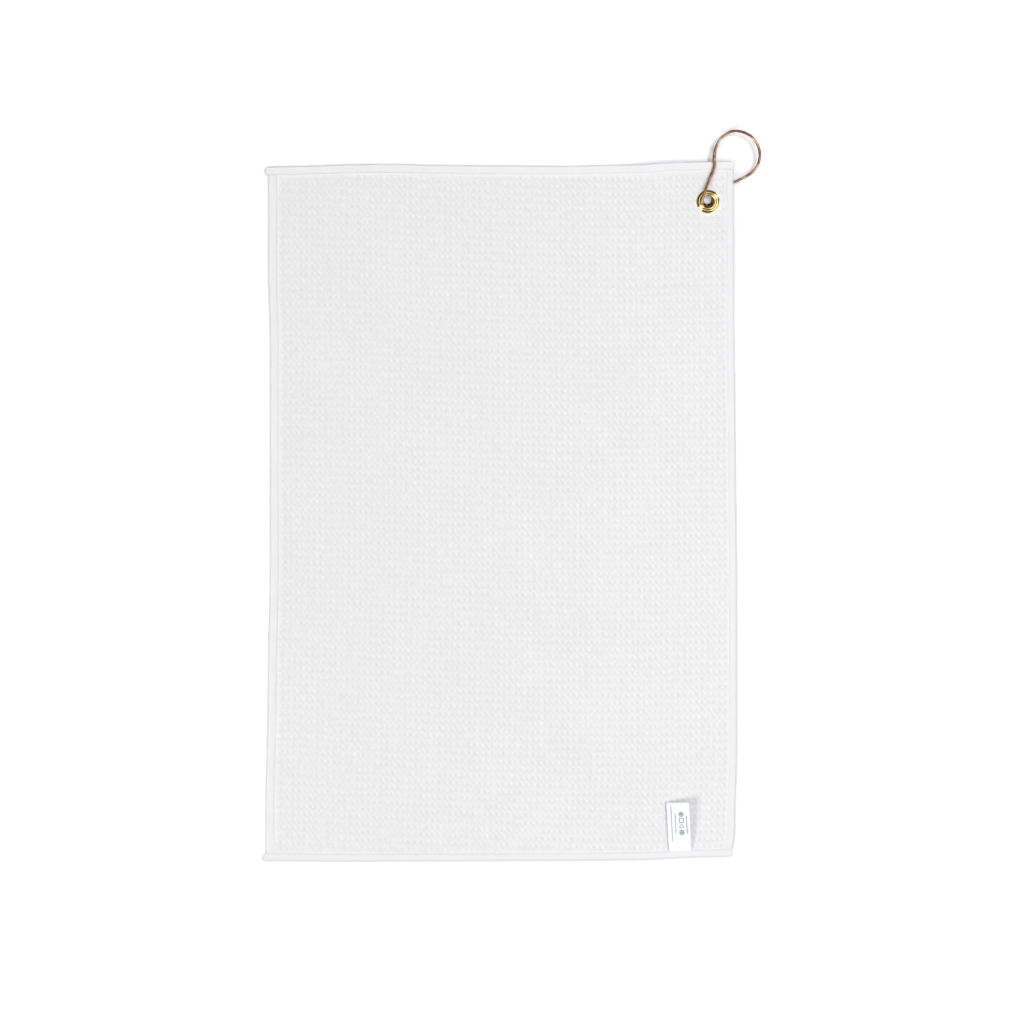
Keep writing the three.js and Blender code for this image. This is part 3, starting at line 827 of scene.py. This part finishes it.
def label_print(material):
    """Generic print: rows of plain dashes, and a column of plain outlined shapes."""
    vertices = []
    faces = []

    def patch(outline):
        low, high = print_outline(outline)
        size = len(low)
        base = sum(len(p) for p in vertices)
        vertices.extend([low, high])
        around = [(k, (k + 1) % size) for k in range(size)]
        faces.append([base + k for k in reversed(range(size))])
        faces.append([base + size + k for k in range(size)])
        faces.extend([base + a, base + b, base + size + b, base + size + a] for a, b in around)

    def bar(u, width, v_low, v_high):
        steps = np.linspace(v_low, v_high, max(2, int((v_high - v_low) / (2 * MM)) + 2))
        right = [(u + width / 2, v) for v in steps]
        left = [(u - width / 2, v) for v in steps[::-1]]
        patch(right + left)

    def dashes(u, width, v_low, v_high, longest):
        v = v_low
        while v < v_high:
            length = min(rng.uniform(0.35, 1) * longest, v_high - v)
            bar(u, width, v, v + max(length, SHORTEST_DASH))
            v += length + DASH_GAP

    def shape(u, v, sides, turn, radius, line):
        """An outlined regular polygon, made of one slab for each side."""
        angles = np.radians(turn) + 2 * np.pi * np.arange(sides) / sides
        for a, b in zip(angles, np.roll(angles, -1)):
            corners = [(radius, a), (radius, b), (radius - line, b), (radius - line, a)]
            patch([(u + r * math.cos(k), v + r * math.sin(k)) for r, k in corners])

    for u, width, first, last, longest in DASH_ROWS:
        v_low = LABEL_LENGTH - first * MM
        v_high = LABEL_LENGTH - last * MM
        dashes(u * MM, width * MM, v_low, v_high, longest * MM)
    for row, (sides, turn, radius, core) in enumerate(PRINT_SHAPES):
        v = LABEL_LENGTH - (SHAPES_FROM_END + SHAPES_APART * row) * MM
        shape(SHAPES_FROM_MIDDLE, v, sides, turn, radius * MM, SHAPE_LINE)
        if core:
            inner = radius * core * MM
            shape(SHAPES_FROM_MIDDLE, v, sides, turn + 180 / sides, inner, SHAPE_LINE)
    made = make_object("label_print", np.concatenate(vertices), faces, material)
    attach(made, "care_label")
    return made


# ------------------------------------------------------------------ studio
def area_light(name, place, size, power, colour):
    data = bpy.data.lights.new(name, "AREA")
    data.shape = "DISK"
    data.size = size
    data.energy = power
    data.color = colour
    light = bpy.data.objects.new(name, data)
    light.location = place
    light.rotation_euler = (-Vector(place)).to_track_quat("-Z", "Y").to_euler()
    bpy.context.scene.collection.objects.link(light)


def studio():
    """A white floor, a softly shaded surround and soft lights from above."""
    half = 20.0
    corners = [(-half, -half, 0), (half, -half, 0), (half, half, 0), (-half, half, 0)]
    floor = make_object("studio_floor", np.array(corners), [(0, 1, 2, 3)], studio_white())
    floor.location.z = -0.05 * MM
    world = bpy.data.worlds.new("studio_surround")
    world.use_nodes = True
    bpy.context.scene.world = world
    nodes = world.node_tree.nodes
    links = world.node_tree.links
    direction = nodes.new("ShaderNodeTexCoord").outputs["Generated"]
    split = nodes.new("ShaderNodeSeparateXYZ")
    links.new(direction, split.inputs[0])
    ramp = nodes.new("ShaderNodeValToRGB")
    stops = [(0.0, 0.6), (0.1, 0.5), (0.2, 0.05), (0.8, 0.05), (0.9, 1.0)]
    elements = ramp.color_ramp.elements
    while len(elements) < len(stops):
        elements.new(0.5)
    for element, (position, tone) in zip(elements, stops):
        element.position = position
        element.color = (tone, tone, tone * 1.01, 1)
    links.new(split.outputs["Z"], ramp.inputs["Fac"])
    background = nodes["Background"]
    background.inputs["Strength"].default_value = 1.1
    links.new(ramp.outputs["Color"], background.inputs["Color"])
    for light in LIGHTS:
        area_light(*light)
    bpy.context.scene.view_settings.view_transform = "Standard"


def camera():
    """Straight down from above, framed on the towel a little below the object's middle."""
    data = bpy.data.cameras.new("camera")
    data.lens = data.sensor_width * CAMERA_HEIGHT / SEEN_WIDTH
    made = bpy.data.objects.new("camera", data)
    made.location = (*CAMERA_PLAN, CAMERA_HEIGHT)
    bpy.context.scene.collection.objects.link(made)
    bpy.context.scene.camera = made


# ------------------------------------------------------------------ assembly
camera()
studio()
cloth = towel_cloth(waffle_cloth())
seams = overlocked_edges(overlock_thread())
rings = grommet(brass())
wire_hook(copper_wire())
label = ribbon_label(label_satin())
printed = label_print(label_ink())
